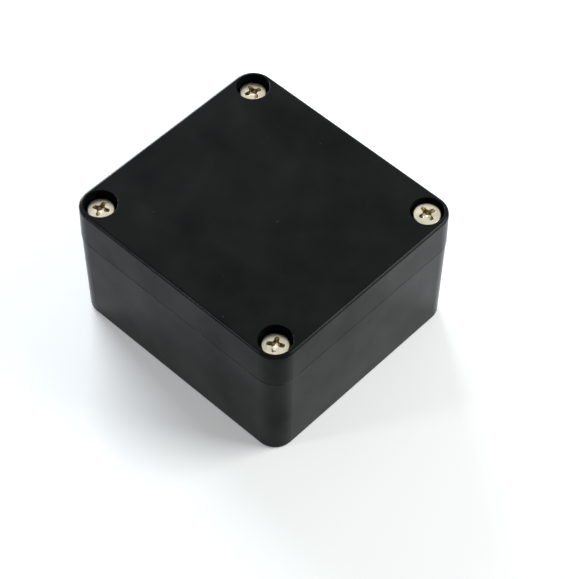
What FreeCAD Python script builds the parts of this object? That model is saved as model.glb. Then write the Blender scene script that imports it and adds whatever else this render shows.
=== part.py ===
"""Small moulded project box with a screwed, sealed lid.

The box stands on its underside. X runs along its length, Y along its width and
Z up, with the origin at the centre of the underside. Front is the -Y side and
right is the +X side. Sizes are in millimetres.
"""
import FreeCAD
import Part

import math
import os

# Closed box, measured over the lid, which is the widest part
box_length = 63.0
box_width = 58.0
box_height = 35.0
lid_height = 9.8
corner_radius = 5.3

# Draft of the moulded sides, and the rounding of their edges
lid_draft_deg = 0.6
base_draft_deg = 1.0
rim_step = 0.12
lid_edge_radius = 0.8
lid_rim_radius = 0.15
base_edge_radius = 0.65
base_rim_radius = 0.25

# Fine gap that shows between the two rims, outside their seat
seam_gap = 0.15
seam_gap_depth = 0.6

# Shell of the base and of the lid
wall_thickness = 2.25
floor_thickness = 2.2
top_thickness = 2.4
post_radius = 5.0
post_blend_radius = 1.5

# Tongue, groove and gasket between the two shells
tongue_thickness = 0.95
tongue_height = 2.0
tongue_lead_in = 0.1
groove_clearance = 0.15
gasket_thickness = 1.2
gasket_side_gap = 0.05
seal_rib_thickness = 0.9

# Screw positions, wells and holes
screw_inset = 5.0
well_radius = 3.8
well_depth = 4.1
well_edge_radius = 0.12
hole_clearance = 0.25
tip_clearance = 1.5

# Machine screw with a pan head and a cross recess
screw_length = 16.0
shank_radius = 1.45
tip_chamfer = 0.4
head_radius = 3.25
head_height = 2.4
head_side_height = 1.75
head_crown_deg = 6.0
recess_span = 4.1
recess_width = 1.15
recess_foot_span = 2.3
recess_foot_width = 0.8
recess_depth = 1.7

# Threaded insert
insert_length = 6.0
insert_radius = 2.3
insert_waist_radius = 2.0
insert_waist_length = 1.2
insert_nose_radius = 2.1
insert_nose_length = 0.8
insert_pocket_clearance = 0.02
thread_clearance = 0.05

# Board bosses on the floor
boss_spacing_x = 38.0
boss_spacing_y = 32.0
boss_height = 4.0
boss_foot_radius = 2.9
boss_top_radius = 2.6
boss_hole_radius = 1.1
boss_hole_depth = 5.0

# Card guides on the two long walls
guide_spacing = 22.0
guide_slot = 1.8
guide_rib_thickness = 1.1
guide_projection = 1.3
guide_top_drop = 3.5
guide_lead_in = 0.8

# Heights and insets that follow from the sizes above
seam_z = box_height - lid_height
bearing_z = box_height - well_depth
tongue_top_z = seam_z + tongue_height
groove_top_z = tongue_top_z + gasket_thickness
insert_bottom_z = seam_z - insert_length
tip_z = bearing_z - screw_length
cavity_inset = rim_step + wall_thickness
tongue_inset = cavity_inset - tongue_thickness
groove_outer_inset = tongue_inset - groove_clearance
groove_inner_inset = cavity_inset + groove_clearance
lid_pocket_inset = groove_inner_inset + seal_rib_thickness
cut_margin = 1.0

# One screw in each corner: its name, the signs of its X and Y, the turn of its
# cross recess in degrees, and how far it stands off its seat
corners = [
    ("front_left", -1, -1, 25.0, 0.0),
    ("front_right", 1, -1, 32.0, 0.0),
    ("rear_left", -1, 1, 70.0, 0.0),
    ("rear_right", 1, 1, 75.0, 0.9),
]


def draft_shift(height, draft_deg):
    """How far a drafted side leans inwards over a height."""
    return height * math.tan(math.radians(draft_deg))


def corner_position(sign_x, sign_y):
    """Screw axis of one corner."""
    x = sign_x * (box_length / 2 - screw_inset)
    y = sign_y * (box_width / 2 - screw_inset)
    return x, y


def arc_about(centre_x, centre_y, radius, start_deg, end_deg, z):
    """Arc about a centre, in the plane at height z."""
    points = []
    for angle_deg in (start_deg, (start_deg + end_deg) / 2, end_deg):
        angle = math.radians(angle_deg)
        x = centre_x + radius * math.cos(angle)
        y = centre_y + radius * math.sin(angle)
        points.append(FreeCAD.Vector(x, y, z))
    return Part.Arc(*points).toShape()


def closed_wire(curves):
    """Join curves in order with straight edges into one closed wire."""
    edges = []
    for index, curve in enumerate(curves):
        edges.append(curve)
        start = curve.lastVertex(True).Point
        end = curves[(index + 1) % len(curves)].firstVertex(True).Point
        if start.distanceToPoint(end) > 1e-6:
            edges.append(Part.makeLine(start, end))
    return Part.Wire(edges)


def outer_outline(inset, z):
    """Rounded rectangle, set in from the lid's widest outline."""
    radius = corner_radius - inset
    centre_x = box_length / 2 - corner_radius
    centre_y = box_width / 2 - corner_radius
    quarters = [(1, 1, 0), (-1, 1, 90), (-1, -1, 180), (1, -1, 270)]
    arcs = []
    for sign_x, sign_y, start in quarters:
        arcs.append(arc_about(sign_x * centre_x, sign_y * centre_y, radius, start, start + 90, z))
    return closed_wire(arcs)


def inner_outline(inset, z):
    """Outline that follows the walls and goes round the inside of each corner post.

    All such outlines are parallel curves. Each corner has a blend arc, a concave
    arc about the screw axis, and a second blend arc.
    """
    growth = inset - cavity_inset
    post = post_radius + growth
    blend = post_blend_radius - growth
    across = screw_inset - inset - blend
    along = math.sqrt((post + blend) ** 2 - across ** 2)
    lean = math.degrees(math.atan2(across, along))
    post_x = box_length / 2 - screw_inset
    post_y = box_width / 2 - screw_inset
    arcs = []
    for sign_x, sign_y, start in [(1, 1, 0), (-1, 1, 90), (-1, -1, 180), (1, -1, 270)]:
        turned = start % 180 == 90
        side_x = sign_x * (post_x - (along if turned else -across))
        side_y = sign_y * (post_y - (-across if turned else along))
        next_x = sign_x * (post_x - (-across if turned else along))
        next_y = sign_y * (post_y - (along if turned else -across))
        post_start = start + 270 - lean
        post_end = start + 180 + lean
        arcs.append(arc_about(side_x, side_y, blend, start, start + 90 - lean, z))
        arcs.append(arc_about(sign_x * post_x, sign_y * post_y, post, post_start, post_end, z))
        arcs.append(arc_about(next_x, next_y, blend, start + lean, start + 90, z))
    return closed_wire(arcs)


def prism(wire, height):
    """Upright solid on a flat outline."""
    return Part.Face(wire).extrude(FreeCAD.Vector(0, 0, height))


def drafted_block(lower_wire, upper_wire):
    """Solid with straight leaning sides between two like outlines."""
    return Part.makeLoft([lower_wire, upper_wire], True, True)


def cylinder(radius, x, y, bottom_z, top_z):
    """Upright cylinder between two heights."""
    return Part.makeCylinder(radius, top_z - bottom_z, FreeCAD.Vector(x, y, bottom_z))


def round_level_edges(solid, z, radius):
    """Round every edge that lies at one height."""
    level = []
    for edge in solid.Edges:
        if abs(edge.BoundBox.ZMin - z) < 1e-4 and abs(edge.BoundBox.ZMax - z) < 1e-4:
            level.append(edge)
    return solid.makeFillet(radius, level)


def turned_solid(curves, x, y, z):
    """Solid of revolution about an upright axis, from a half outline in X and Z."""
    solid = Part.Face(Part.Wire(curves)).revolve(
        FreeCAD.Vector(0, 0, 0), FreeCAD.Vector(0, 0, 1), 360)
    solid.translate(FreeCAD.Vector(x, y, z))
    return solid


def base_body():
    """Outside of the base: drafted sides, rounded underside and rim, and the tongue."""
    foot_inset = rim_step + draft_shift(seam_z, base_draft_deg)
    body = drafted_block(outer_outline(foot_inset, 0), outer_outline(rim_step, seam_z))
    body = round_level_edges(body, 0, base_edge_radius)
    body = round_level_edges(body, seam_z, base_rim_radius)
    tongue = drafted_block(
        inner_outline(tongue_inset, seam_z),
        inner_outline(tongue_inset + tongue_lead_in, tongue_top_z))
    return body.fuse(tongue)


def base_cavity():
    """Space inside the base, wider at the top, carried up through the tongue."""
    depth = seam_z - floor_thickness
    foot_inset = cavity_inset + draft_shift(depth, base_draft_deg)
    lower = drafted_block(
        inner_outline(foot_inset, floor_thickness),
        inner_outline(cavity_inset, seam_z))
    upper = prism(inner_outline(cavity_inset, seam_z), tongue_height + cut_margin)
    return lower.fuse(upper)


def board_boss(x, y):
    """Tapered boss that carries a circuit board, without its hole."""
    root_z = floor_thickness / 2
    top_z = floor_thickness + boss_height
    foot = Part.makeCone(
        boss_foot_radius, boss_top_radius, top_z - root_z, FreeCAD.Vector(x, y, root_z))
    return foot


def boss_positions():
    """Centres of the four board bosses."""
    places = []
    for sign_x in (-1, 1):
        for sign_y in (-1, 1):
            places.append((sign_x * boss_spacing_x / 2, sign_y * boss_spacing_y / 2))
    return places


def guide_rib(start_x, sign_y):
    """One card guide rib, rooted in a long wall, with a sloping lead-in at its top."""
    foot_inset = cavity_inset + draft_shift(seam_z - floor_thickness, base_draft_deg)
    root_y = box_width / 2 - cavity_inset + wall_thickness / 3
    tip_y = box_width / 2 - foot_inset - guide_projection
    root_z = floor_thickness / 2
    top_z = seam_z - guide_top_drop
    profile = [
        (root_y, root_z),
        (tip_y, root_z),
        (tip_y, top_z - guide_lead_in),
        (tip_y + guide_lead_in, top_z),
        (root_y, top_z),
        (root_y, root_z),
    ]
    points = []
    for y, z in profile:
        points.append(FreeCAD.Vector(start_x, sign_y * y, z))
    face = Part.Face(Part.makePolygon(points))
    return face.extrude(FreeCAD.Vector(guide_rib_thickness, 0, 0))


def guide_ribs():
    """A pair of ribs at each card slot, two slots on each long wall."""
    ribs = []
    for slot_x in (-guide_spacing / 2, guide_spacing / 2):
        for sign_y in (-1, 1):
            ribs.append(guide_rib(slot_x - guide_slot / 2 - guide_rib_thickness, sign_y))
            ribs.append(guide_rib(slot_x + guide_slot / 2, sign_y))
    return ribs


def make_base():
    """Lower shell: walls, floor, corner posts, tongue, board bosses and card guides."""
    base = base_body().cut(base_cavity())
    base = base.fuse([board_boss(x, y) for x, y in boss_positions()] + guide_ribs())
    boss_top_z = floor_thickness + boss_height
    holes = []
    for x, y in boss_positions():
        holes.append(cylinder(boss_hole_radius, x, y, boss_top_z - boss_hole_depth, boss_top_z))
    pocket_radius = insert_radius + insert_pocket_clearance
    relief_radius = shank_radius + hole_clearance
    for _, sign_x, sign_y, _, _ in corners:
        x, y = corner_position(sign_x, sign_y)
        holes.append(cylinder(pocket_radius, x, y, insert_bottom_z, seam_z))
        holes.append(cylinder(relief_radius, x, y, tip_z - tip_clearance, insert_bottom_z))
    return base.cut(holes).removeSplitter()


def lid_body():
    """Outside of the lid: drafted sides, rounded edges, and a seat that keeps the rims apart."""
    rim_z = seam_z + seam_gap
    top_inset = draft_shift(box_height - rim_z, lid_draft_deg)
    body = drafted_block(outer_outline(0, rim_z), outer_outline(top_inset, box_height))
    body = round_level_edges(body, box_height, lid_edge_radius)
    body = round_level_edges(body, rim_z, lid_rim_radius)
    return body.fuse(prism(outer_outline(seam_gap_depth, seam_z), seam_gap))


def seal_groove():
    """Groove for the gasket and the tongue, open at the seam."""
    depth = groove_top_z - seam_z
    outside = prism(inner_outline(groove_outer_inset, seam_z), depth)
    inside = prism(inner_outline(groove_inner_inset, seam_z), depth)
    return outside.cut(inside)


def lid_pocket():
    """Space inside the lid, narrower at the top."""
    depth = lid_height - top_thickness
    top_inset = lid_pocket_inset + draft_shift(depth, lid_draft_deg)
    return drafted_block(
        inner_outline(lid_pocket_inset, seam_z),
        inner_outline(top_inset, box_height - top_thickness))


def well_mouths(solid):
    """Edges where the screw wells meet the lid's top."""
    mouths = []
    for edge in solid.Edges:
        box = edge.BoundBox
        level = abs(box.ZMin - box_height) < 1e-4 and abs(box.ZMax - box_height) < 1e-4
        if level and abs(box.XLength - 2 * well_radius) < 1e-3:
            mouths.append(edge)
    return mouths


def make_lid():
    """Upper shell: top, sides, seal groove, pocket, and a well and hole at each screw."""
    lid = lid_body().cut(seal_groove()).cut(lid_pocket())
    hole_radius = shank_radius + hole_clearance
    holes = []
    for _, sign_x, sign_y, _, _ in corners:
        x, y = corner_position(sign_x, sign_y)
        holes.append(cylinder(well_radius, x, y, bearing_z, box_height + cut_margin))
        holes.append(cylinder(hole_radius, x, y, seam_z - cut_margin, bearing_z))
    lid = lid.cut(holes).removeSplitter()
    return lid.makeFillet(well_edge_radius, well_mouths(lid))


def make_gasket():
    """Soft ring between the tongue and the roof of the groove."""
    outer = inner_outline(groove_outer_inset + gasket_side_gap, tongue_top_z)
    inner = inner_outline(groove_inner_inset - gasket_side_gap, tongue_top_z)
    return prism(outer, gasket_thickness).cut(prism(inner, gasket_thickness))


def make_insert(x, y):
    """Turned insert with two gripping bands, a waist between them and a narrower nose."""
    bore = shank_radius + thread_clearance
    waist_low = (insert_length + insert_nose_length - insert_waist_length) / 2
    waist_high = waist_low + insert_waist_length
    outline = [
        (bore, 0),
        (insert_nose_radius, 0),
        (insert_nose_radius, insert_nose_length),
        (insert_radius, insert_nose_length),
        (insert_radius, waist_low),
        (insert_waist_radius, waist_low),
        (insert_waist_radius, waist_high),
        (insert_radius, waist_high),
        (insert_radius, insert_length),
        (bore, insert_length),
        (bore, 0),
    ]
    points = [FreeCAD.Vector(radius, 0, z) for radius, z in outline]
    return turned_solid(Part.makePolygon(points).Edges, x, y, insert_bottom_z)


def head_curves():
    """Side, rounded shoulder and shallow crown of the pan head, above the bearing face."""
    crown = math.radians(head_crown_deg)
    rise = math.tan(crown / 2)
    shoulder = (head_height - head_side_height - head_radius * rise) / (
        math.cos(crown) - (1 - math.sin(crown)) * rise)
    centre_x = head_radius - shoulder
    crown_start_x = centre_x + shoulder * math.sin(crown)
    crown_radius = crown_start_x / math.sin(crown)
    crown_centre_z = head_height - crown_radius

    def shoulder_point(angle):
        return FreeCAD.Vector(
            centre_x + shoulder * math.cos(angle), 0,
            head_side_height + shoulder * math.sin(angle))

    def crown_point(angle):
        return FreeCAD.Vector(
            crown_radius * math.sin(angle), 0, crown_centre_z + crown_radius * math.cos(angle))

    side_top = shoulder_point(0)
    shoulder_end = math.pi / 2 - crown
    return [
        Part.makeLine(FreeCAD.Vector(head_radius, 0, 0), side_top),
        Part.Arc(side_top, shoulder_point(shoulder_end / 2), crown_point(crown)).toShape(),
        Part.Arc(crown_point(crown), crown_point(crown / 2), crown_point(0)).toShape(),
    ]


def recess_arm(turn_deg):
    """One arm of the cross recess: a slot that narrows as it goes down."""
    top_z = head_height + cut_margin
    foot_z = head_height - recess_depth
    slope = cut_margin / recess_depth
    top_span = recess_span + (recess_span - recess_foot_span) * slope
    top_width = recess_width + (recess_width - recess_foot_width) * slope
    wires = []
    for span, width, z in ((top_span, top_width, top_z), (recess_foot_span, recess_foot_width, foot_z)):
        points = []
        for sign_x, sign_y in ((1, 1), (-1, 1), (-1, -1), (1, -1), (1, 1)):
            points.append(FreeCAD.Vector(sign_x * span / 2, sign_y * width / 2, z))
        wires.append(Part.makePolygon(points))
    arm = Part.makeLoft(wires, True, True)
    arm.rotate(FreeCAD.Vector(0, 0, 0), FreeCAD.Vector(0, 0, 1), turn_deg)
    return arm


def make_screw(x, y, turn_deg, stand_off):
    """Pan head screw, with its head at or just above the floor of the well."""
    tip = -screw_length
    outline = [
        FreeCAD.Vector(0, 0, head_height),
        FreeCAD.Vector(0, 0, tip),
        FreeCAD.Vector(shank_radius - tip_chamfer, 0, tip),
        FreeCAD.Vector(shank_radius, 0, tip + tip_chamfer),
        FreeCAD.Vector(shank_radius, 0, 0),
        FreeCAD.Vector(head_radius, 0, 0),
    ]
    curves = Part.makePolygon(outline).Edges + head_curves()
    screw = turned_solid(curves, 0, 0, 0)
    screw = screw.cut([recess_arm(turn_deg), recess_arm(turn_deg + 90)])
    screw.translate(FreeCAD.Vector(x, y, bearing_z + stand_off))
    return screw


def make_parts():
    """Every piece of the box by name."""
    parts = {"base": make_base(), "lid": make_lid(), "gasket": make_gasket()}
    for name, sign_x, sign_y, turn_deg, stand_off in corners:
        x, y = corner_position(sign_x, sign_y)
        parts["insert_" + name] = make_insert(x, y)
        parts["screw_" + name] = make_screw(x, y, turn_deg, stand_off)
    return parts


def single_solid(shape):
    """The one solid that a shape holds."""
    if len(shape.Solids) != 1:
        raise ValueError("expected one solid, found %d" % len(shape.Solids))
    return shape.Solids[0]


def main():
    """Write each piece to its own file."""
    os.makedirs("parts", exist_ok=True)
    for name, shape in make_parts().items():
        solid = single_solid(shape)
        solid.exportStep("parts/" + name + ".step")
        box = solid.BoundBox
        print("%-20s volume %9.1f mm3, z %6.2f to %6.2f, faces %3d, valid %s" % (
            name, solid.Volume, box.ZMin, box.ZMax, len(solid.Faces), solid.isValid()))


main()
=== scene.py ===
# %% [markdown]
# # A small black project box
# This lesson dresses a plastic project box: a lower shell, a screwed lid, a
# soft seal, four brass inserts and four nickel-plated screws. The two shells
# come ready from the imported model, so this script only gives them their finish.
# The screws, the inserts and the seal are modelled here, because they need finer
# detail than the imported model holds.

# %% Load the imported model
import math

import bmesh
import bpy
from mathutils import Matrix, Vector


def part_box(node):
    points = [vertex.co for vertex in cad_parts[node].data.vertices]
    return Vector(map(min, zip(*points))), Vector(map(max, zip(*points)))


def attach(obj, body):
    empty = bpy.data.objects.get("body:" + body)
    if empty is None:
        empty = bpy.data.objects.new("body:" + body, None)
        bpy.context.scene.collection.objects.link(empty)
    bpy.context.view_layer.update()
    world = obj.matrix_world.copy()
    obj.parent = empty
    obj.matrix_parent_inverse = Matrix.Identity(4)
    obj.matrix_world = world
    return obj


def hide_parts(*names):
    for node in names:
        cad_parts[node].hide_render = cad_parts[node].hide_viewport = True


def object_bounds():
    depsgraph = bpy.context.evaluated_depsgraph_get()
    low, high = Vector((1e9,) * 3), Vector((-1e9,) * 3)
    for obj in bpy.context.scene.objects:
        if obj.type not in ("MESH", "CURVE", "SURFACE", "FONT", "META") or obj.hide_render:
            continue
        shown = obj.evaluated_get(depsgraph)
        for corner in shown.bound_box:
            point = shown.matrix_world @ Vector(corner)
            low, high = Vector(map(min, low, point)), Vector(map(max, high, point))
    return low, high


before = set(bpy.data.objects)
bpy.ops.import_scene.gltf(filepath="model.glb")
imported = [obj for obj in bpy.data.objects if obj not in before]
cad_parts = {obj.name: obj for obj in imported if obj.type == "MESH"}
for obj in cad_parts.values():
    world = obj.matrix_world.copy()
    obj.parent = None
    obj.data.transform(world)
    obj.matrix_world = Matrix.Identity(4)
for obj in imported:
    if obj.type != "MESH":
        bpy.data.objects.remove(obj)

model_low, model_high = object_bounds()
print("The model's box in metres:", tuple(model_low), tuple(model_high))

# %% [markdown]
# ## The camera
# A product photographer stands the camera above one corner and uses a long
# lens, so that upright edges stay nearly parallel. The angle, distance and lens
# below were found by matching the box's outline, its seam and its four screws to
# the photograph. The camera's place is worked out from them, so one number can be
# changed at a time.

# %% Place the camera
MM = 0.001
IMAGE_WIDTH = 565
IMAGE_HEIGHT = 579
SENSOR_WIDTH = 36.0
FOCAL_PIXELS = 2151.4
AZIMUTH = math.radians(43.225)
ELEVATION = math.radians(52.795)
ROLL = math.radians(0.469)
CAMERA_DISTANCE = 484.17 * MM
TRACK_RIGHT = -4.184 * MM
TRACK_UP = 7.409 * MM
CLIP_NEAR = 0.01
CLIP_FAR = 20.0


def camera_matrix():
    """Where the camera is and how it is turned, as one matrix."""
    back = Vector((
        math.sin(AZIMUTH) * math.cos(ELEVATION),
        -math.cos(AZIMUTH) * math.cos(ELEVATION),
        math.sin(ELEVATION)))
    level_right = (-back).cross(Vector((0, 0, 1))).normalized()
    level_up = back.cross(level_right)
    right = math.cos(ROLL) * level_right + math.sin(ROLL) * level_up
    up = math.cos(ROLL) * level_up - math.sin(ROLL) * level_right
    middle = (model_low + model_high) / 2
    place = middle + back * CAMERA_DISTANCE - right * TRACK_RIGHT - up * TRACK_UP
    turn = Matrix((right, up, back)).transposed().to_4x4()
    return Matrix.Translation(place) @ turn


camera_data = bpy.data.cameras.new("product_camera")
camera_data.sensor_width = SENSOR_WIDTH
camera_data.lens = FOCAL_PIXELS / max(IMAGE_WIDTH, IMAGE_HEIGHT) * SENSOR_WIDTH
camera_data.clip_start = CLIP_NEAR
camera_data.clip_end = CLIP_FAR
camera = bpy.data.objects.new("product_camera", camera_data)
bpy.context.scene.collection.objects.link(camera)
camera.matrix_world = camera_matrix()
bpy.context.scene.camera = camera
print("The lens is %.1f mm long" % camera_data.lens)

# %% [markdown]
# ## The studio
# A black, smooth plastic shows mostly what it mirrors. The lid mirrors the white
# room at a steep angle, where plastic mirrors very little, so it stays black. The
# white is for what is seen, directly or mirrored, and isn't light on the box: for
# every other ray the room is dim. A mixing node picks one or the other by the kind
# of ray.

# %% Set the view and the room's light
WHITE = (1.0, 1.0, 1.0, 1.0)
ROOM_LIGHT = 0.18
ROOM_COLOUR = (0.95, 1.0, 0.98, 1.0)

scene = bpy.context.scene
scene.view_settings.view_transform = "Standard"


def link(tree, source, target):
    """Join an output socket to an input socket."""
    tree.links.new(source, target)


def seen_as_background(tree):
    """A node output that is 1 for what the camera sees, also in a mirroring or a clear surface."""
    path = tree.nodes.new("ShaderNodeLightPath")
    seen = path.outputs["Is Camera Ray"]
    for kind in ("Is Glossy Ray", "Is Transmission Ray"):
        either = tree.nodes.new("ShaderNodeMath")
        either.operation = "MAXIMUM"
        link(tree, seen, either.inputs[0])
        link(tree, path.outputs[kind], either.inputs[1])
        seen = either.outputs["Value"]
    return seen


def make_world():
    """A room that is seen as white, and gives only a dim, slightly cool light."""
    world = bpy.data.worlds.new("studio_room")
    world.use_nodes = True
    tree = world.node_tree
    background = tree.nodes["Background"]
    colour = tree.nodes.new("ShaderNodeMix")
    colour.data_type = "RGBA"
    colour.inputs["A"].default_value = [channel * ROOM_LIGHT for channel in ROOM_COLOUR[:3]] + [1.0]
    colour.inputs["B"].default_value = WHITE
    link(tree, seen_as_background(tree), colour.inputs["Factor"])
    link(tree, colour.outputs["Result"], background.inputs["Color"])
    return world


scene.world = make_world()
print("The room's light is", ROOM_LIGHT)

# %% [markdown]
# ## The table
# The sides of the box mirror the table top at a flatter angle than the lid mirrors
# the room, so they look greyer, and they show where the table is lit and where it
# lies in shade. One large plane is enough. It has a faint glow of its own that is
# only seen, like the white of the room, so that it looks white beyond the shadow.

# %% Lay the table
FLOOR_SIZE = 6.0
FLOOR_COLOUR = (0.93, 0.93, 0.93, 1.0)
FLOOR_ROUGHNESS = 0.37
FLOOR_LIFT = 0.23


def make_floor_material():
    """Smooth white table top that is seen a little lighter than the lamps make it."""
    material = bpy.data.materials.new("smooth_white_table")
    material.use_nodes = True
    tree = material.node_tree
    shader = tree.nodes["Principled BSDF"]
    shader.inputs["Base Color"].default_value = FLOOR_COLOUR
    shader.inputs["Roughness"].default_value = FLOOR_ROUGHNESS
    glow = tree.nodes.new("ShaderNodeMath")
    glow.operation = "MULTIPLY"
    glow.inputs[1].default_value = FLOOR_LIFT
    shader.inputs["Emission Color"].default_value = WHITE
    link(tree, seen_as_background(tree), glow.inputs[0])
    link(tree, glow.outputs["Value"], shader.inputs["Emission Strength"])
    return material


bpy.ops.object.select_all(action="DESELECT")
bpy.ops.mesh.primitive_plane_add(size=FLOOR_SIZE, location=(0, 0, model_low.z))
floor = bpy.context.object
floor.name = "table_top"
floor.data.materials.append(make_floor_material())
print("The table is", FLOOR_SIZE, "m wide")

# %% [markdown]
# ## The lamps
# The key lamp stands to the right, so the right side is the brighter one. The side
# lamp stands low on the left and a little behind the box. The box shades the table
# from it, so the left side grows darker towards its foot and the front corner. A
# small fill lamp at the front left opens that shade a little, and the rounded edge
# of the lid mirrors it as a thin bright line. A small top lamp reaches the screw
# heads, because their wells are too deep for the low lamps.

# %% Hang the four lamps
LAMP_DISTANCE = 0.80
COOL_LIGHT = (0.87, 0.93, 1.0)
PLAIN_LIGHT = (0.96, 1.0, 0.98)


def soft_lamp(name, direction, size, radiance, colour):
    """A square lamp that points at the top of the box, with a set radiance at its face."""
    data = bpy.data.lights.new(name, "AREA")
    data.shape = "SQUARE"
    data.size = size
    data.color = colour
    data.energy = radiance * math.pi * size * size
    lamp = bpy.data.objects.new(name, data)
    scene.collection.objects.link(lamp)
    lamp.location = Vector(direction).normalized() * LAMP_DISTANCE
    aim = Vector((0, 0, model_high.z)) - lamp.location
    lamp.rotation_euler = aim.to_track_quat("-Z", "Y").to_euler()
    return lamp


key_lamp = soft_lamp(
    "key_lamp", direction=(0.60, 0.58, 0.53), size=0.5, radiance=8.0, colour=PLAIN_LIGHT)
side_lamp = soft_lamp(
    "side_lamp", direction=(-0.80, 0.35, 0.26), size=0.5, radiance=16.5, colour=COOL_LIGHT)
fill_lamp = soft_lamp(
    "fill_lamp", direction=(-0.41, -0.78, 0.47), size=0.10, radiance=30.0, colour=COOL_LIGHT)
top_lamp = soft_lamp(
    "top_lamp", direction=(0.04, 0.00, 1.00), size=0.25, radiance=0.8, colour=PLAIN_LIGHT)
print("Lamps:", key_lamp.name, side_lamp.name, fill_lamp.name, top_lamp.name)

# %% [markdown]
# ## Finishes made of nodes
# Each finish is a small tree of nodes. Most helpers below add one node and join
# it, so that a finish reads as a list of steps. All textures take Object
# coordinates, which are metres on the piece, so a grain has a real size and no
# unwrapping is needed.

# %% Helpers for node materials
def new_material(name):
    """An empty node material, and its tree and main shader."""
    material = bpy.data.materials.new(name)
    material.use_nodes = True
    tree = material.node_tree
    return material, tree, tree.nodes["Principled BSDF"]


def object_coordinates(tree):
    """The point on the piece, in metres."""
    return tree.nodes.new("ShaderNodeTexCoord").outputs["Object"]


def noise(tree, coordinates, grain, detail=2.0):
    """Noise whose lumps are about one grain across, from 0 to 1."""
    node = tree.nodes.new("ShaderNodeTexNoise")
    node.inputs["Scale"].default_value = 1.0 / grain
    node.inputs["Detail"].default_value = detail
    link(tree, coordinates, node.inputs["Vector"])
    return node.outputs["Fac"]


def spread(tree, value, low, high, start=0.0, end=1.0):
    """Stretch a value that runs from start to end, so that it runs from low to high."""
    node = tree.nodes.new("ShaderNodeMapRange")
    node.inputs["From Min"].default_value = start
    node.inputs["From Max"].default_value = end
    node.inputs["To Min"].default_value = low
    node.inputs["To Max"].default_value = high
    link(tree, value, node.inputs["Value"])
    return node.outputs["Result"]


def combine(tree, operation, first, second):
    """Join two values by arithmetic."""
    node = tree.nodes.new("ShaderNodeMath")
    node.operation = operation
    link(tree, first, node.inputs[0])
    link(tree, second, node.inputs[1])
    return node.outputs["Value"]


def mix_colour(tree, factor, first, second):
    """Blend from one fixed colour to another."""
    node = tree.nodes.new("ShaderNodeMix")
    node.data_type = "RGBA"
    node.inputs["A"].default_value = first
    node.inputs["B"].default_value = second
    link(tree, factor, node.inputs["Factor"])
    return node.outputs["Result"]


def cover(tree, factor, under, colour):
    """Lay a fixed colour over what another node gives."""
    node = tree.nodes.new("ShaderNodeMix")
    node.data_type = "RGBA"
    node.inputs["B"].default_value = colour
    link(tree, under, node.inputs["A"])
    link(tree, factor, node.inputs["Factor"])
    return node.outputs["Result"]


def bump(tree, shader, height, depth):
    """Let a height pattern tilt the light on the surface."""
    node = tree.nodes.new("ShaderNodeBump")
    node.inputs["Distance"].default_value = depth
    node.inputs["Strength"].default_value = 1.0
    link(tree, height, node.inputs["Height"])
    link(tree, node.outputs["Normal"], shader.inputs["Normal"])


print("Node helpers are ready")

# %% [markdown]
# ## Black moulded plastic
# Both shells are moulded from the same black plastic. Its colour is nearly
# black and even, and what the eye reads is the sheen: a fine, dull texture from
# the mould, a little cloudier in some places than in others, with a few faint
# specks of dust and a lighter rim on the base where the two shells meet. That
# rim is partly rubbed plastic and partly a painted highlight of the rim's edge.
# Noise and Voronoi textures give these in real sizes, so the same nodes work on
# both shells. The walls of the screw wells get no sheen, as painted shade that
# keeps them black. The distance to the nearest screw axis picks them out, and one
# quarter of the box is enough, because the absolute value of X and of Y folds all
# four corners onto one.

# %% Give the shells their plastic
PLASTIC_BLACK = (0.0030, 0.0033, 0.0035, 1.0)
PLASTIC_CLOUD = (0.0052, 0.0057, 0.0054, 1.0)
DUST_COLOUR = (0.045, 0.047, 0.041, 1.0)
SHEEN_LOW = 0.060
SHEEN_HIGH = 0.105
# No sheen inside the screw wells: painted shade that keeps them black.
WELL_PAINTED_SHADE_SHEEN = 0.0
MOULD_GRAIN = 0.35 * MM
MOULD_DETAIL = 3.0
MOULD_DEPTH = 0.006 * MM
MOULD_ROUGHNESS = 0.03
CLOUD_GRAIN = 10.0 * MM
CLOUD_DETAIL = 5.0
CLOUD_START = 0.3
CLOUD_END = 0.7
CLOUD_ROUGHNESS_LOW = 0.17
CLOUD_ROUGHNESS_HIGH = 0.25
DUST_SPACING = 5.2 * MM
DUST_RADIUS = 0.038
DUST_CORE = 0.4
CORNER_RADIUS = 5.3 * MM
# Lighter colour on the rim under the seam: partly rubbed plastic, partly a painted highlight.
SCUFF_AND_HIGHLIGHT_COLOUR = (0.038, 0.037, 0.031, 1.0)
SCUFF_LENGTH = 4.5 * MM
SCUFF_HEIGHT = 0.6 * MM
SCUFF_DEPTH = 0.5 * MM
SCUFF_DETAIL = 6.0
SCUFF_START = 0.53
SCUFF_FULL = 0.70
WELL_RADIUS = 3.82 * MM
WELL_DEPTH = 4.15 * MM
WELL_BLEND = 0.08 * MM


def dust_mask(tree, coordinates):
    """1 on sparse small specks, and 0 elsewhere."""
    cells = tree.nodes.new("ShaderNodeTexVoronoi")
    cells.inputs["Scale"].default_value = 1.0 / DUST_SPACING
    link(tree, coordinates, cells.inputs["Vector"])
    return spread(tree, cells.outputs["Distance"], 1.0, 0.0, DUST_RADIUS * DUST_CORE, DUST_RADIUS)


def folded(tree, value, centre, clamped):
    """How far the absolute value of a coordinate lies from a centre, at least 0 when clamped."""
    node = tree.nodes.new("ShaderNodeMath")
    node.operation = "ABSOLUTE"
    link(tree, value, node.inputs[0])
    shift = tree.nodes.new("ShaderNodeMath")
    shift.operation = "SUBTRACT"
    shift.use_clamp = clamped
    shift.inputs[1].default_value = centre
    link(tree, node.outputs["Value"], shift.inputs[0])
    return shift.outputs["Value"]


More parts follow.
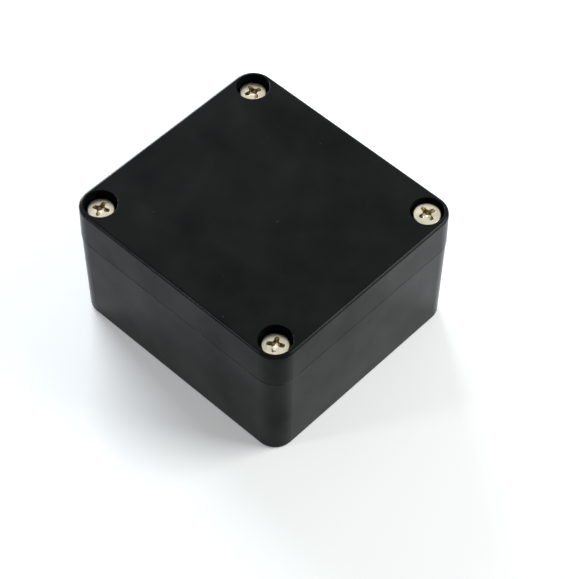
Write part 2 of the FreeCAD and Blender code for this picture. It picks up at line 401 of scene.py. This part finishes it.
def distance_from_corner(tree, split, x, y, clamped=False):
    """Seen from above, how far a point is from (x, y) in its own quarter of the box."""
    join = tree.nodes.new("ShaderNodeCombineXYZ")
    link(tree, folded(tree, split.outputs["X"], x, clamped), join.inputs["X"])
    link(tree, folded(tree, split.outputs["Y"], y, clamped), join.inputs["Y"])
    length = tree.nodes.new("ShaderNodeVectorMath")
    length.operation = "LENGTH"
    link(tree, join.outputs["Vector"], length.inputs["Vector"])
    return length.outputs["Value"]


def split_coordinates(tree, coordinates):
    """A node that gives X, Y and Z one by one."""
    split = tree.nodes.new("ShaderNodeSeparateXYZ")
    link(tree, coordinates, split.inputs["Vector"])
    return split


def painted_shade_well_mask(tree, coordinates):
    """1 inside the screw wells, where the sheen gives way to painted shade, and 0 elsewhere."""
    low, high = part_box("screw_front_right")
    split = split_coordinates(tree, coordinates)
    distance = distance_from_corner(tree, split, (low.x + high.x) / 2, -(low.y + high.y) / 2)
    near = spread(tree, distance, 1.0, 0.0, WELL_RADIUS, WELL_RADIUS + WELL_BLEND)
    floor_z = model_high.z - WELL_DEPTH
    above = spread(tree, split.outputs["Z"], 0.0, 1.0, floor_z - WELL_BLEND, floor_z)
    return combine(tree, "MULTIPLY", near, above)


def scuff_and_highlight_mask(tree, coordinates):
    """Up to 1 on a few stretches outside on the base, just under the seam, that are partly rubbed and
    partly a painted highlight, and 0 elsewhere.
    """
    split = split_coordinates(tree, coordinates)
    seam_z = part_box("lid")[0].z
    band = tree.nodes.new("ShaderNodeMath")
    band.operation = "COMPARE"
    band.inputs[1].default_value = seam_z - SCUFF_HEIGHT / 2
    band.inputs[2].default_value = SCUFF_HEIGHT / 2
    link(tree, split.outputs["Z"], band.inputs[0])
    fading = spread(tree, split.outputs["Z"], 0.0, 1.0, seam_z - SCUFF_HEIGHT, seam_z - SCUFF_HEIGHT / 2)
    distance = distance_from_corner(
        tree, split, model_high.x - CORNER_RADIUS, model_high.y - CORNER_RADIUS, clamped=True)
    outside = spread(tree, distance, 0.0, 1.0, CORNER_RADIUS - SCUFF_DEPTH, CORNER_RADIUS - SCUFF_DEPTH / 2)
    patches = noise(tree, coordinates, SCUFF_LENGTH, SCUFF_DETAIL)
    mask = spread(tree, patches, 0.0, 1.0, SCUFF_START, SCUFF_FULL)
    for limit in (band.outputs["Value"], fading, outside):
        mask = combine(tree, "MULTIPLY", mask, limit)
    return mask


def make_shell_plastic():
    """Black plastic with a fine mould texture, faint clouds, rubbed rims with a painted highlight, dust,
    and painted shade in the screw wells.
    """
    material, tree, shader = new_material("black_moulded_plastic")
    coordinates = object_coordinates(tree)
    clouds = noise(tree, coordinates, CLOUD_GRAIN, CLOUD_DETAIL)
    grain = noise(tree, coordinates, MOULD_GRAIN, MOULD_DETAIL)
    tone = mix_colour(tree, clouds, PLASTIC_BLACK, PLASTIC_CLOUD)
    # The rim under the seam is lightened, partly as wear and partly as a painted highlight.
    scuffed_and_lit = cover(tree, scuff_and_highlight_mask(tree, coordinates), tone, SCUFF_AND_HIGHLIGHT_COLOUR)
    dusted = cover(tree, dust_mask(tree, coordinates), scuffed_and_lit, DUST_COLOUR)
    link(tree, dusted, shader.inputs["Base Color"])
    cloudy = spread(tree, clouds, CLOUD_ROUGHNESS_LOW, CLOUD_ROUGHNESS_HIGH)
    fine = spread(tree, grain, -MOULD_ROUGHNESS, MOULD_ROUGHNESS)
    link(tree, combine(tree, "ADD", cloudy, fine), shader.inputs["Roughness"])
    sheen = tree.nodes.new("ShaderNodeMix")
    cloudy_sheen = spread(tree, clouds, SHEEN_LOW, SHEEN_HIGH, CLOUD_START, CLOUD_END)
    link(tree, cloudy_sheen, sheen.inputs["A"])
    # Inside the screw wells the sheen is taken away, as painted shade.
    sheen.inputs["B"].default_value = WELL_PAINTED_SHADE_SHEEN
    link(tree, painted_shade_well_mask(tree, coordinates), sheen.inputs["Factor"])
    link(tree, sheen.outputs["Result"], shader.inputs["Specular IOR Level"])
    bump(tree, shader, grain, MOULD_DEPTH)
    return material


def dress_node(node, material):
    """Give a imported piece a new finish."""
    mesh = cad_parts[node].data
    mesh.materials.clear()
    mesh.materials.append(material)


shell_plastic = make_shell_plastic()
dress_node("base", shell_plastic)
dress_node("lid", shell_plastic)
print("Shells dressed:", "base", "lid")

# %% [markdown]
# ## Tools for modelling by hand
# A few small helpers stand in for the mouse. One picks faces, edges or vertices
# by a test on their place, one draws a half outline by extruding a single
# vertex from point to point, and one joins or cuts two solids with a Boolean
# modifier that is applied at once.

# %% Helpers for modelling
WELD_DISTANCE = 0.001 * MM
SMOOTH_ANGLE = math.radians(32)


def make_active(obj):
    """Select one object and nothing else."""
    bpy.ops.object.select_all(action="DESELECT")
    obj.select_set(True)
    bpy.context.view_layer.objects.active = obj


def pick(obj, kind, test):
    """In edit mode, select the vertices, edges or faces that pass a test."""
    bpy.ops.mesh.select_mode(type=kind)
    bpy.ops.mesh.select_all(action="DESELECT")
    shape = bmesh.from_edit_mesh(obj.data)
    groups = {"VERT": shape.verts, "EDGE": shape.edges, "FACE": shape.faces}
    for item in groups[kind]:
        if test(item):
            item.select_set(True)
    shape.select_flush_mode()
    bmesh.update_edit_mesh(obj.data)


def draw_outline(name, points):
    """Extrude one vertex from point to point: (distance from the axis, height) in millimetres."""
    bpy.ops.object.select_all(action="DESELECT")
    bpy.ops.mesh.primitive_plane_add(size=MM)
    obj = bpy.context.object
    obj.name = name
    places = [Vector((radius, 0, height)) * MM for radius, height in points]
    bpy.ops.object.mode_set(mode="EDIT")
    bpy.ops.mesh.select_mode(type="VERT")
    bpy.ops.mesh.select_all(action="SELECT")
    bpy.ops.mesh.merge(type="CENTER")
    bpy.ops.transform.translate(value=places[0])
    for start, end in zip(places, places[1:]):
        bpy.ops.mesh.extrude_region_move(TRANSFORM_OT_translate={"value": end - start})
    bpy.ops.object.mode_set(mode="OBJECT")
    return obj


def close_mesh():
    """In edit mode, weld the whole mesh and turn its faces outwards."""
    bpy.ops.mesh.select_all(action="SELECT")
    bpy.ops.mesh.remove_doubles(threshold=WELD_DISTANCE)
    bpy.ops.mesh.normals_make_consistent(inside=False)


def spin_outline(obj, steps):
    """Turn a half outline into a solid of revolution about the upright axis."""
    make_active(obj)
    bpy.ops.object.mode_set(mode="EDIT")
    bpy.ops.mesh.select_all(action="SELECT")
    bpy.ops.mesh.spin(steps=steps, angle=2 * math.pi, center=(0, 0, 0), axis=(0, 0, 1))
    close_mesh()
    bpy.ops.object.mode_set(mode="OBJECT")
    return obj


def combine_solids(obj, tool, operation):
    """Join, cut or intersect a solid with a second one, which is used up."""
    make_active(obj)
    modifier = obj.modifiers.new(operation.lower(), "BOOLEAN")
    modifier.operation = operation
    modifier.solver = "EXACT"
    modifier.object = tool
    bpy.ops.object.modifier_apply(modifier=modifier.name)
    bpy.data.objects.remove(tool)
    return obj


def count_open_edges(obj):
    """How many edges don't have exactly two faces."""
    shape = bmesh.new()
    shape.from_mesh(obj.data)
    loose = sum(1 for edge in shape.edges if len(edge.link_faces) != 2)
    shape.free()
    return loose


print("Modelling helpers are ready")

# %% [markdown]
# ## A helical thread
# A machine screw's thread is one ridge that winds along the shank. It could be
# faked with stacked rings, but then it wouldn't climb. Here the outline of one
# pitch is drawn along the shank and swept by a Screw modifier. One pitch of
# outline for one turn makes neighbouring turns share their edge, so the result
# is a single skin. Two cuts with Bisect give it flat, closed ends.

# %% Threaded rod
THREAD_PITCH = 0.5
THREAD_STEPS = 40
FLANK_SHARE = 0.35
RUN_IN_TURNS = 1.6
SPARE_TURNS = 3
CUT_TOLERANCE = 0.0001 * MM


def threaded_rod(name, root_radius, crest_radius, bottom, top):
    """Closed rod with a helical thread, between two heights in millimetres."""
    flank = FLANK_SHARE * THREAD_PITCH
    flat = THREAD_PITCH / 2 - flank
    start = bottom - RUN_IN_TURNS * THREAD_PITCH
    outline = [
        (root_radius, start),
        (root_radius, start + flat),
        (crest_radius, start + flat + flank),
        (crest_radius, start + 2 * flat + flank),
        (root_radius, start + THREAD_PITCH),
    ]
    obj = draw_outline(name, outline)
    sweep = obj.modifiers.new("sweep", "SCREW")
    sweep.angle = 2 * math.pi
    sweep.screw_offset = THREAD_PITCH * MM
    sweep.iterations = math.ceil((top - bottom) / THREAD_PITCH) + SPARE_TURNS
    sweep.steps = THREAD_STEPS
    sweep.render_steps = THREAD_STEPS
    make_active(obj)
    bpy.ops.object.modifier_apply(modifier=sweep.name)
    bpy.ops.object.mode_set(mode="EDIT")
    close_mesh()
    for height, upward in ((bottom, False), (top, True)):
        bpy.ops.mesh.select_all(action="SELECT")
        bpy.ops.mesh.bisect(
            plane_co=(0, 0, height * MM), plane_no=(0, 0, 1), use_fill=True,
            clear_inner=not upward, clear_outer=upward, threshold=CUT_TOLERANCE)
    close_mesh()
    bpy.ops.object.mode_set(mode="OBJECT")
    return obj


sample = threaded_rod("sample_rod", root_radius=1.2, crest_radius=1.45, bottom=0.0, top=3.0)
print("Open edges on a sample rod:", count_open_edges(sample))
bpy.data.objects.remove(sample)

# %% [markdown]
# ## The screws
# Four pan head machine screws hold the lid. Only their heads show: a round face
# with a rounded shoulder and a cross recess. The head starts as a cylinder,
# whose top edge is bevelled and whose face is inset and lifted a little at a
# time into a shallow crown. The threaded shank is joined to it, and the recess
# is cut with a tool shaped like the driver that fits it.

# %% Model one screw
SCREW_LENGTH = 16.0
HEAD_HEIGHT = 2.4
HEAD_CROWN = 0.16
HEAD_SHOULDER = 0.5
HEAD_SIDES = 96
HEIGHT_SLACK = 0.01
CROWN_RINGS = 6
NEARLY_LEVEL = 0.9
NECK_RADIUS = 1.25
NECK_LENGTH = 0.9
SHANK_RADIUS = 1.45
THREAD_ROOT = 1.17
THREAD_START = -0.5
TIP_CHAMFER = 0.45
TIP_SPARE = 0.5

RECESS_SPAN = 4.1
RECESS_WIDTH = 1.15
RECESS_FOOT_SPAN = 2.3
RECESS_FOOT_WIDTH = 0.8
RECESS_DEPTH = 1.65
RECESS_END_ROUNDING = 0.25
RECESS_CORE_TOP = 1.0
RECESS_CORE_FOOT = 0.85
RECESS_POINT = 0.45
RECESS_EDGE = 0.05
BLADE_HEIGHT = RECESS_DEPTH * 1.5
CORE_RISE = 0.3
CORE_SIDES = 32

screw_low, screw_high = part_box("screw_front_left")
HEAD_RADIUS = (screw_high.x - screw_low.x) / 2 / MM


def screw_head():
    """Pan head with a short neck under it. Its bearing face is at height 0."""
    side = HEAD_HEIGHT - HEAD_CROWN
    bpy.ops.object.select_all(action="DESELECT")
    bpy.ops.mesh.primitive_cylinder_add(
        vertices=HEAD_SIDES, radius=HEAD_RADIUS * MM, depth=side * MM, location=(0, 0, side / 2 * MM))
    obj = bpy.context.object
    bpy.ops.object.transform_apply(location=True, rotation=True, scale=True)
    bpy.ops.object.mode_set(mode="EDIT")
    pick(obj, "EDGE", lambda edge: min(v.co.z for v in edge.verts) > (side - HEIGHT_SLACK) * MM)
    bpy.ops.mesh.bevel(offset=HEAD_SHOULDER * MM, segments=6, affect="EDGES")
    ring_width = (HEAD_RADIUS - HEAD_SHOULDER) / (CROWN_RINGS + 1)
    for ring in range(CROWN_RINGS):
        lift = HEAD_CROWN * (2 * (CROWN_RINGS - ring) - 1) / CROWN_RINGS ** 2
        pick(obj, "FACE", lambda face: len(face.verts) == HEAD_SIDES and face.normal.z > NEARLY_LEVEL)
        bpy.ops.mesh.inset(thickness=ring_width * MM, depth=lift * MM)
    pick(obj, "FACE", lambda face: len(face.verts) == HEAD_SIDES and face.normal.z < -NEARLY_LEVEL)
    bpy.ops.mesh.inset(thickness=(HEAD_RADIUS - NECK_RADIUS) * MM)
    bpy.ops.mesh.extrude_region_move(TRANSFORM_OT_translate={"value": (0, 0, -NECK_LENGTH * MM)})
    bpy.ops.object.mode_set(mode="OBJECT")
    return obj


def recess_arm(turn):
    """One arm of the driver's cross: a tapered blade with rounded ends."""
    slope = (BLADE_HEIGHT - RECESS_DEPTH) / RECESS_DEPTH
    span = RECESS_SPAN + (RECESS_SPAN - RECESS_FOOT_SPAN) * slope
    width = RECESS_WIDTH + (RECESS_WIDTH - RECESS_FOOT_WIDTH) * slope
    low = HEAD_HEIGHT - RECESS_DEPTH
    bpy.ops.object.select_all(action="DESELECT")
    bpy.ops.mesh.primitive_cube_add(size=MM, location=(0, 0, (low + BLADE_HEIGHT / 2) * MM))
    obj = bpy.context.object
    obj.scale = (span, width, BLADE_HEIGHT)
    obj.rotation_euler.z = turn
    bpy.ops.object.transform_apply(location=True, rotation=False, scale=True)
    bpy.ops.object.mode_set(mode="EDIT")
    pick(obj, "FACE", lambda face: face.normal.z < -NEARLY_LEVEL)
    bpy.ops.transform.resize(value=(RECESS_FOOT_SPAN / span, RECESS_FOOT_WIDTH / width, 1))
    pick(obj, "EDGE", lambda edge: abs(edge.verts[0].co.z - edge.verts[1].co.z) > MM)
    bpy.ops.mesh.bevel(
        offset_type="PERCENT", offset_pct=RECESS_END_ROUNDING * 100, offset=RECESS_END_ROUNDING * MM,
        segments=4, affect="EDGES")
    bpy.ops.object.mode_set(mode="OBJECT")
    bpy.ops.object.transform_apply(location=False, rotation=True, scale=False)
    return obj


print("Head radius %.2f mm, screw length %.1f mm" % (HEAD_RADIUS, SCREW_LENGTH))

# %% [markdown]
# ## Nickel plate, and the whole screw
# The screws are plated with nickel, a slightly warm metal that is a little darker
# in patches. The walls of the recess look dark and brownish in the photograph, with
# a bright spot low in the middle, so the walls get a darker metal as painted shade
# and the floor a lighter one as a painted highlight. The cutting tool carries both,
# because a Boolean cut leaves the tool's materials on the faces that it makes, and
# nothing has to be picked by hand afterwards.

# %% Join the screw's parts
NICKEL = (0.62, 0.585, 0.465, 1.0)
NICKEL_WARM = (0.50, 0.46, 0.35, 1.0)
METAL_DETAIL = 3.0
NICKEL_PATCH = 1.32 * MM
NICKEL_PATCH_START = 0.35
NICKEL_PATCH_FULL = 0.75
NICKEL_GRAIN = 0.22 * MM
NICKEL_DEPTH = 0.004 * MM
# The recess walls' darker metal is painted shade, and the recess floor's lighter metal is a painted
# highlight.
RECESS_WALL_PAINTED_SHADE = (0.36, 0.31, 0.19, 1.0)
RECESS_FLOOR_PAINTED_HIGHLIGHT = (0.86, 0.80, 0.68, 1.0)
POINTS_DOWN = -0.7


def make_nickel(name, light, dark, rough_low, rough_high):
    """Plated steel: a slightly warm metal, dulled unevenly by the plating."""
    material, tree, shader = new_material(name)
    coordinates = object_coordinates(tree)
    patches = noise(tree, coordinates, NICKEL_PATCH, METAL_DETAIL)
    grain = noise(tree, coordinates, NICKEL_GRAIN)
    darker = spread(tree, patches, 0.0, 1.0, NICKEL_PATCH_START, NICKEL_PATCH_FULL)
    link(tree, mix_colour(tree, darker, light, dark), shader.inputs["Base Color"])
    shader.inputs["Metallic"].default_value = 1.0
    link(tree, spread(tree, grain, rough_low, rough_high), shader.inputs["Roughness"])
    bump(tree, shader, grain, NICKEL_DEPTH)
    return material


nickel = make_nickel("nickel_plate", NICKEL, NICKEL_WARM, rough_low=0.24, rough_high=0.40)
recess_wall_painted_shade = make_nickel(
    "nickel_recess_wall", RECESS_WALL_PAINTED_SHADE, RECESS_WALL_PAINTED_SHADE, rough_low=0.20, rough_high=0.32)
recess_floor_painted_highlight = make_nickel(
    "nickel_recess_floor", RECESS_FLOOR_PAINTED_HIGHLIGHT, RECESS_FLOOR_PAINTED_HIGHLIGHT, rough_low=0.20, rough_high=0.30)


def recess_tool():
    """The driver's tip: two crossed blades and a core with a blunt point between them."""
    tool = recess_arm(0.0)
    combine_solids(tool, recess_arm(math.pi / 2), "UNION")
    foot_z = HEAD_HEIGHT - RECESS_DEPTH
    top_z = HEAD_HEIGHT + CORE_RISE
    core = draw_outline("driver_core", [
        (0, foot_z - RECESS_POINT), (RECESS_CORE_FOOT, foot_z), (RECESS_CORE_TOP, HEAD_HEIGHT),
        (RECESS_CORE_TOP, top_z), (0, top_z)])
    spin_outline(core, CORE_SIDES)
    return combine_solids(tool, core, "UNION")


def machine_screw():
    """Pan head screw with a cross recess and a threaded shank."""
    screw = screw_head()
    screw.name = "machine_screw"
    rod = threaded_rod("threaded_shank", THREAD_ROOT, SHANK_RADIUS, -SCREW_LENGTH, THREAD_START)
    tip = draw_outline("tip_form", [
        (0, -SCREW_LENGTH - TIP_SPARE),
        (SHANK_RADIUS - TIP_CHAMFER - TIP_SPARE, -SCREW_LENGTH - TIP_SPARE),
        (SHANK_RADIUS + TIP_SPARE, -SCREW_LENGTH + TIP_CHAMFER + TIP_SPARE),
        (SHANK_RADIUS + TIP_SPARE, 0), (0, 0)])
    spin_outline(tip, THREAD_STEPS)
    combine_solids(rod, tip, "INTERSECT")
    combine_solids(screw, rod, "UNION")
    tool = recess_tool()
    for piece in (screw, tool):
        for material in (nickel, recess_wall_painted_shade, recess_floor_painted_highlight):
            piece.data.materials.append(material)
    # Faces of the tool that point down make the recess floor with its painted highlight, and the rest make
    # the walls with their painted shade.
    for face in tool.data.polygons:
        face.material_index = 2 if face.normal.z < POINTS_DOWN else 1
    combine_solids(screw, tool, "DIFFERENCE")
    make_active(screw)
    bpy.ops.object.mode_set(mode="EDIT")
    close_mesh()
    pick(screw, "EDGE", lambda edge: {face.material_index for face in edge.link_faces} == {0, 1})
    bpy.ops.mesh.bevel(offset=RECESS_EDGE * MM, segments=2, affect="EDGES", clamp_overlap=True)
    bpy.ops.object.mode_set(mode="OBJECT")
    bpy.ops.object.shade_smooth_by_angle(angle=SMOOTH_ANGLE)
    return screw


first_screw = machine_screw()
print("Open edges on a screw:", count_open_edges(first_screw), "faces:", len(first_screw.data.polygons))

# %% [markdown]
# All four screws are the same, so the first one is copied. Each copy gets its
# own mesh, which is turned to where the driver left its recess and moved onto
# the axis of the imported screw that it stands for.

# %% Place the four screws
RECESS_TURNS = {"front_left": 25.0, "front_right": 32.0, "rear_left": 70.0, "rear_right": 75.0}


def place_copy(pattern, name, turn_deg, place):
    """A copy with its own mesh, turned about its axis and moved in the mesh itself."""
    mesh = pattern.data.copy()
    mesh.transform(Matrix.Translation(place) @ Matrix.Rotation(math.radians(turn_deg), 4, "Z"))
    copy = bpy.data.objects.new(name, mesh)
    scene.collection.objects.link(copy)
    return copy


def axis_of(node):
    """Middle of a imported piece, seen from above."""
    low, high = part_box(node)
    return (low.x + high.x) / 2, (low.y + high.y) / 2


for corner, turn_deg in RECESS_TURNS.items():
    node = "screw_" + corner
    x, y = axis_of(node)
    seat_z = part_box(node)[0].z + SCREW_LENGTH * MM
    piece = place_copy(first_screw, "machine_screw_" + corner, turn_deg, Vector((x, y, seat_z)))
    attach(piece, node)
    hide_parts(node)
    print(piece.name, "stands at height %.2f mm" % (seat_z / MM))
bpy.data.objects.remove(first_screw)

# %% [markdown]
# ## The threaded inserts
# Each screw bites into a brass insert that is pressed into a post of the base.
# It shows when the lid is off, as a bright ring flush with the post. Outside it
# has two bands of slanted teeth that grip the plastic. A band is a cylinder
# whose every second corner is pulled in, with its top ring turned a little so
# that the teeth slant. The bore is cut with a threaded rod made like the shank.

# %% Model one insert
INSERT_RADIUS = 2.3
TOOTH_ROOT = 2.14
WAIST_RADIUS = 2.0
NOSE_RADIUS = 2.1
NOSE_LENGTH = 0.8
WAIST_LENGTH = 1.2
TEETH = 28
TOOTH_SLANT = math.radians(16)
BORE_RADIUS = 1.5
BORE_GROOVE = 1.72
BORE_MOUTH = 1.85
NOSE_CHAMFER = 0.15
BAND_OVERLAP = 0.1
INSERT_SIDES = 56
CUT_MARGIN = 0.5
MOUTH_POINT = 0.6

insert_low, insert_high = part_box("insert_front_left")
INSERT_LENGTH = (insert_high.z - insert_low.z) / MM
BAND_LENGTH = (INSERT_LENGTH - NOSE_LENGTH - WAIST_LENGTH) / 2


def toothed_band(bottom, slant):
    """Short cylinder with slanted teeth round it, standing on a height in millimetres."""
    bpy.ops.object.select_all(action="DESELECT")
    bpy.ops.mesh.primitive_cylinder_add(
        vertices=2 * TEETH, radius=INSERT_RADIUS * MM, depth=BAND_LENGTH * MM,
        location=(0, 0, (bottom + BAND_LENGTH / 2) * MM))
    band = bpy.context.object
    bpy.ops.object.transform_apply(location=True, rotation=True, scale=True)
    pitch = math.pi / TEETH
    bpy.ops.object.mode_set(mode="EDIT")
    pick(band, "VERT", lambda v: round(math.atan2(v.co.y, v.co.x) / pitch) % 2 == 1)
    shrink = TOOTH_ROOT / INSERT_RADIUS
    bpy.ops.transform.resize(value=(shrink, shrink, 1), center_override=(0, 0, 0))
    pick(band, "VERT", lambda v: v.co.z > (bottom + BAND_LENGTH / 2) * MM)
    bpy.ops.transform.rotate(value=slant, orient_axis="Z", center_override=(0, 0, 0))
    bpy.ops.object.mode_set(mode="OBJECT")
    return band


def turned_core():
    """Plain body of the insert: a nose, a waist and what lies under the teeth."""
    inner = TOOTH_ROOT - BAND_OVERLAP
    top = INSERT_LENGTH
    core = draw_outline("insert_core", [
        (0, 0), (NOSE_RADIUS - NOSE_CHAMFER, 0), (NOSE_RADIUS, NOSE_CHAMFER),
        (NOSE_RADIUS, NOSE_LENGTH), (inner, NOSE_LENGTH + BAND_OVERLAP),
        (inner, NOSE_LENGTH + BAND_LENGTH - BAND_OVERLAP),
        (WAIST_RADIUS, NOSE_LENGTH + BAND_LENGTH), (WAIST_RADIUS, top - BAND_LENGTH),
        (inner, top - BAND_LENGTH + BAND_OVERLAP), (inner, top), (0, top)])
    return spin_outline(core, INSERT_SIDES)


def threaded_insert():
    """Brass insert with slanted teeth outside and a thread inside."""
    insert = turned_core()
    insert.name = "threaded_insert"
    combine_solids(insert, toothed_band(NOSE_LENGTH, TOOTH_SLANT), "UNION")
    combine_solids(insert, toothed_band(INSERT_LENGTH - BAND_LENGTH, -TOOTH_SLANT), "UNION")
    bore = threaded_rod(
        "bore_tool", BORE_RADIUS, BORE_GROOVE, -CUT_MARGIN, INSERT_LENGTH + CUT_MARGIN)
    combine_solids(insert, bore, "DIFFERENCE")
    mouth = draw_outline("mouth_tool", [
        (0, INSERT_LENGTH + CUT_MARGIN), (BORE_MOUTH + CUT_MARGIN, INSERT_LENGTH + CUT_MARGIN),
        (BORE_RADIUS, INSERT_LENGTH + BORE_RADIUS - BORE_MOUTH), (0, INSERT_LENGTH - MOUTH_POINT)])
    spin_outline(mouth, INSERT_SIDES)
    combine_solids(insert, mouth, "DIFFERENCE")
    make_active(insert)
    bpy.ops.object.mode_set(mode="EDIT")
    close_mesh()
    bpy.ops.object.mode_set(mode="OBJECT")
    bpy.ops.object.shade_smooth_by_angle(angle=SMOOTH_ANGLE)
    return insert


first_insert = threaded_insert()
print("Open edges on an insert:", count_open_edges(first_insert), "faces:", len(first_insert.data.polygons))

# %% [markdown]
# ## Brass, and four inserts
# Turned brass stays bright, but some patches are duller and darker. The first
# insert is copied for all four posts, as the screw was. Each is turned a little
# further than the one before, because a pressed insert stands at any angle.

# %% Finish and place the four inserts
BRASS = (0.76, 0.55, 0.25, 1.0)
BRASS_DULL = (0.60, 0.41, 0.18, 1.0)
BRASS_PATCH = 1.2 * MM
BRASS_ROUGHNESS_LOW = 0.24
BRASS_ROUGHNESS_HIGH = 0.42
BRASS_GRAIN = 0.12 * MM
BRASS_DEPTH = 0.003 * MM
INSERT_TURN = 7.0


def make_brass():
    """Turned brass, a little duller in patches."""
    material, tree, shader = new_material("turned_brass")
    coordinates = object_coordinates(tree)
    patches = noise(tree, coordinates, BRASS_PATCH, METAL_DETAIL)
    link(tree, mix_colour(tree, patches, BRASS, BRASS_DULL), shader.inputs["Base Color"])
    shader.inputs["Metallic"].default_value = 1.0
    roughness = spread(tree, patches, BRASS_ROUGHNESS_LOW, BRASS_ROUGHNESS_HIGH)
    link(tree, roughness, shader.inputs["Roughness"])
    bump(tree, shader, noise(tree, coordinates, BRASS_GRAIN), BRASS_DEPTH)
    return material


first_insert.data.materials.append(make_brass())
for step, corner in enumerate(RECESS_TURNS):
    node = "insert_" + corner
    x, y = axis_of(node)
    place = Vector((x, y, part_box(node)[0].z))
    piece = place_copy(first_insert, "threaded_insert_" + corner, INSERT_TURN * step, place)
    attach(piece, "base")
    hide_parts(node)
    print(piece.name, "is in place")
bpy.data.objects.remove(first_insert)

# %% [markdown]
# ## The seal
# A strip of soft foam rubber lies in the lid's groove and closes on the
# tongue of the base. It is too soft to hold a sharp edge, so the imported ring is
# copied, its loose triangles are welded and merged into flat faces, and its long
# edges are rounded with a bevel. The foam's pores are only a darker tone and a
# bump, because they are far too small to model.

# %% Model the seal
SEAL_ROUNDING = 0.36
FLAT_ANGLE = math.radians(1)
SHARP_ANGLE = math.radians(60)
SEAL_SMOOTH_ANGLE = math.radians(40)
FOAM = (0.030, 0.030, 0.032, 1.0)
FOAM_PORE = (0.012, 0.012, 0.013, 1.0)
FOAM_PORE_SPACING = 0.28 * MM
FOAM_PORE_CORE = 0.10
FOAM_PORE_EDGE = 0.55
FOAM_PORE_DEPTH = 0.05 * MM
FOAM_ROUGHNESS = 0.85
FOAM_SHEEN = 0.3


def make_foam():
    """Dull foam rubber with fine pores."""
    material, tree, shader = new_material("foam_rubber")
    coordinates = object_coordinates(tree)
    cells = tree.nodes.new("ShaderNodeTexVoronoi")
    cells.inputs["Scale"].default_value = 1.0 / FOAM_PORE_SPACING
    link(tree, coordinates, cells.inputs["Vector"])
    pores = spread(tree, cells.outputs["Distance"], 1.0, 0.0, FOAM_PORE_CORE, FOAM_PORE_EDGE)
    link(tree, mix_colour(tree, pores, FOAM, FOAM_PORE), shader.inputs["Base Color"])
    shader.inputs["Roughness"].default_value = FOAM_ROUGHNESS
    shader.inputs["Specular IOR Level"].default_value = FOAM_SHEEN
    bump(tree, shader, cells.outputs["Distance"], FOAM_PORE_DEPTH)
    return material


def seal_ring():
    """Soft ring with rounded edges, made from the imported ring's own mesh."""
    ring = bpy.data.objects.new("seal_ring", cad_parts["gasket"].data.copy())
    scene.collection.objects.link(ring)
    make_active(ring)
    ring.data.materials.clear()
    bpy.ops.object.mode_set(mode="EDIT")
    close_mesh()
    bpy.ops.mesh.select_all(action="SELECT")
    bpy.ops.mesh.dissolve_limited(angle_limit=FLAT_ANGLE)
    pick(ring, "EDGE", lambda edge: edge.calc_face_angle(0) > SHARP_ANGLE)
    bpy.ops.mesh.bevel(offset=SEAL_ROUNDING * MM, segments=4, affect="EDGES")
    close_mesh()
    bpy.ops.object.mode_set(mode="OBJECT")
    bpy.ops.object.shade_smooth_by_angle(angle=SEAL_SMOOTH_ANGLE)
    ring.data.materials.append(make_foam())
    return ring


seal = seal_ring()
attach(seal, "lid")
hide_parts("gasket")
print("Open edges on the seal:", count_open_edges(seal), "faces:", len(seal.data.polygons))
